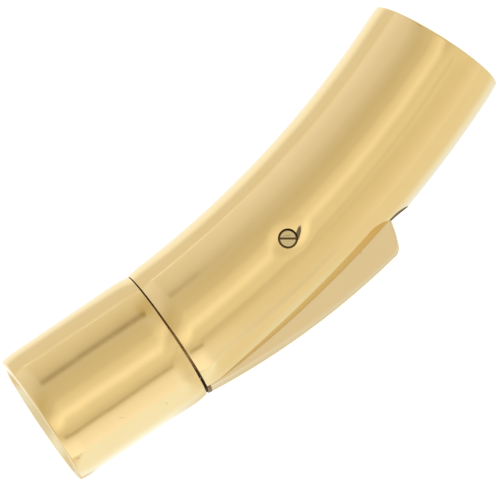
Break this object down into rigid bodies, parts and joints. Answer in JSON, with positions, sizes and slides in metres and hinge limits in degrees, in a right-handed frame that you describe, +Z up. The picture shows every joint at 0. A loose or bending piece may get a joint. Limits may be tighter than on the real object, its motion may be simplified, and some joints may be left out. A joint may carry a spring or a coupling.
{
  "type": "lever clasp for a round cord",
  "caption": "Bent tubular cord clasp: a short plug-in end held in the long tube by the hook of a sprung side lever.",
  "frame": {"origin": "middle of the clasp's box on the surface it lies on, with the bend level", "axes": "+X along the short tube's axis from its mouth to the joint, +Y to the inside of the bend, +Z up along the pivot screw towards its slotted head"},
  "size_m": [0.0314, 0.0126, 0.008],
  "materials": {
    "tube_gold": "gold plating over steel, mirror polished",
    "lever_gold": "gold plating over steel, polished",
    "screw_gold": "gold plating over steel, satin"
  },
  "bodies": {
    "tubes": {"long_tube": "tube_gold", "short_tube": "tube_gold", "pivot_screw": "screw_gold"},
    "lever": {"lever": "lever_gold"}
  },
  "joints": [
    {"name": "lever_press", "type": "hinge", "parent": "tubes", "child": "lever", "pos_m": [0.00087, -0.00184, 0.004], "axis": [0, 0, 1], "range_deg": [0, 8], "stiffness_Nm_per_rad": 0.006, "springref_deg": -28.65}
  ]
}
